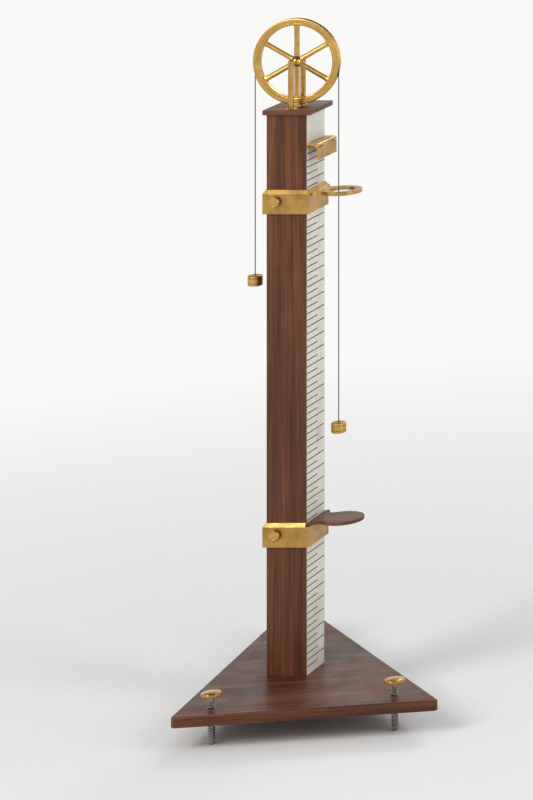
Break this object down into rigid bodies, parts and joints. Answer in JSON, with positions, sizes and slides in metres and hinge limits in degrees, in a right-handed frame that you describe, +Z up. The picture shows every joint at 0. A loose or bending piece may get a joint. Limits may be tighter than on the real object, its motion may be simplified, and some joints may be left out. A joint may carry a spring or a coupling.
{
  "type": "pulley demonstrator",
  "caption": "Falling-weight pulley apparatus: spoked wheel on a tall scaled column, hanging weights, drop shelf, sliding ring and catch platforms, and a triangular base on levelling screws.",
  "frame": {"origin": "middle of the bounding box at the level of the feet, so z = 0 is the table top", "axes": "+Z up the column, -Y out of the column's front face, +X towards the scale and the platforms"},
  "size_m": [0.4052, 0.5562, 1.0355],
  "materials": {
    "stained_wood": "polished stain",
    "scale_white": "satin paint",
    "scale_black": "matte paint",
    "steel": "satin",
    "cord": "matte",
    "lacquered_brass": "polished",
    "aged_brass": "satin"
  },
  "bodies": {
    "stand": {"base_board": "stained_wood", "foot_screws": "steel", "levelling_bushes": "aged_brass", "column": "stained_wood", "scale_strip": "scale_white", "scale_marks": "scale_black", "cap_board": "stained_wood", "fork_foot": "lacquered_brass", "fork_screws": "steel", "front_upright": "lacquered_brass", "rear_upright": "lacquered_brass", "front_bearing_bush": "lacquered_brass", "rear_bearing_bush": "lacquered_brass", "shelf_plate": "aged_brass", "shelf_hinge_pin": "steel", "cord_over_wheel": "cord", "left_cord": "cord", "right_cord": "cord"},
    "wheel": {"wheel_rim": "lacquered_brass", "wheel_spokes": "lacquered_brass", "wheel_hub": "lacquered_brass", "axle": "steel", "axle_keepers": "lacquered_brass"},
    "left_hanging_weight": {"left_weight": "lacquered_brass", "left_knot": "cord"},
    "right_hanging_weight": {"right_weight": "lacquered_brass", "right_knot": "cord"},
    "leaf": {"drop_leaf": "aged_brass"},
    "ring_slider": {"upper_collar": "aged_brass", "ring_platform": "aged_brass"},
    "ring_thumbscrew": {"upper_thumbscrew": "lacquered_brass"},
    "catch_slider": {"lower_collar": "aged_brass", "catch_platform": "stained_wood"},
    "catch_thumbscrew": {"lower_thumbscrew": "lacquered_brass"},
    "left_screw": {"left_levelling_screw": "steel"},
    "left_head": {"left_levelling_head": "aged_brass"},
    "right_screw": {"right_levelling_screw": "steel"},
    "right_head": {"right_levelling_head": "aged_brass"},
    "rear_screw": {"rear_levelling_screw": "steel"},
    "rear_head": {"rear_levelling_head": "aged_brass"}
  },
  "joints": [
    {"name": "wheel_spin", "type": "hinge", "parent": "stand", "child": "wheel", "pos_m": [-0.06232, -0.05716, 0.9705], "axis": [0, 1, 0], "range_deg": [-402.5, 91]},
    {"name": "right_weight_travel", "type": "slide", "parent": "stand", "child": "right_hanging_weight", "axis": [0, 0, 1], "range_m": [-0.1001, 0.4423], "deforming": ["right_cord"]},
    {"name": "left_weight_travel", "type": "slide", "parent": "stand", "child": "left_hanging_weight", "axis": [0, 0, 1], "range_m": [-0.4423, 0.1001], "deforming": ["left_cord"]},
    {"name": "leaf_lift", "type": "hinge", "parent": "stand", "child": "leaf", "pos_m": [-0.01857, -0.05716, 0.8495], "axis": [0, -1, 0], "range_deg": [0, 90]},
    {"name": "ring_slide", "type": "slide", "parent": "stand", "child": "ring_slider", "axis": [0, 0, 1], "range_m": [-0.4, 0.04]},
    {"name": "catch_slide", "type": "slide", "parent": "stand", "child": "catch_slider", "axis": [0, 0, 1], "range_m": [-0.19, 0.025]},
    {"name": "ring_thumbscrew_turn", "type": "hinge", "parent": "ring_slider", "child": "ring_thumbscrew", "pos_m": [-0.07932, -0.09466, 0.7665], "axis": [0, 1, 0], "range_deg": [-360, 0]},
    {"name": "catch_thumbscrew_turn", "type": "hinge", "parent": "catch_slider", "child": "catch_thumbscrew", "pos_m": [-0.07932, -0.09466, 0.26666], "axis": [0, 1, 0], "range_deg": [-360, 0]},
    {"name": "left_screw_travel", "type": "slide", "parent": "stand", "child": "left_screw", "axis": [0, 0, 1], "range_m": [-0.006, 0.006]},
    {"name": "left_head_turn", "type": "hinge", "parent": "left_screw", "child": "left_head", "pos_m": [-0.11419, -0.23415, 0.071], "axis": [0, 0, -1], "range_deg": [-540, 540]},
    {"name": "right_screw_travel", "type": "slide", "parent": "stand", "child": "right_screw", "axis": [0, 0, 1], "range_m": [-0.006, 0.006]},
    {"name": "right_head_turn", "type": "hinge", "parent": "right_screw", "child": "right_head", "pos_m": [0.13032, -0.17277, 0.071], "axis": [0, 0, -1], "range_deg": [-540, 540]},
    {"name": "rear_screw_travel", "type": "slide", "parent": "stand", "child": "rear_screw", "axis": [0, 0, 1], "range_m": [-0.006, 0.006]},
    {"name": "rear_head_turn", "type": "hinge", "parent": "rear_screw", "child": "rear_head", "pos_m": [-0.17089, 0.20859, 0.071], "axis": [0, 0, -1], "range_deg": [-540, 540]}
  ],
  "couplings": [
    {"joint": "right_weight_travel", "follows": "wheel_spin", "m_per_rad": -0.06295},
    {"joint": "left_weight_travel", "follows": "wheel_spin", "m_per_rad": 0.06295},
    {"joint": "left_head_turn", "follows": "left_screw_travel", "rad_per_m": -1570.8},
    {"joint": "right_head_turn", "follows": "right_screw_travel", "rad_per_m": -1570.8},
    {"joint": "rear_head_turn", "follows": "rear_screw_travel", "rad_per_m": -1570.8}
  ]
}
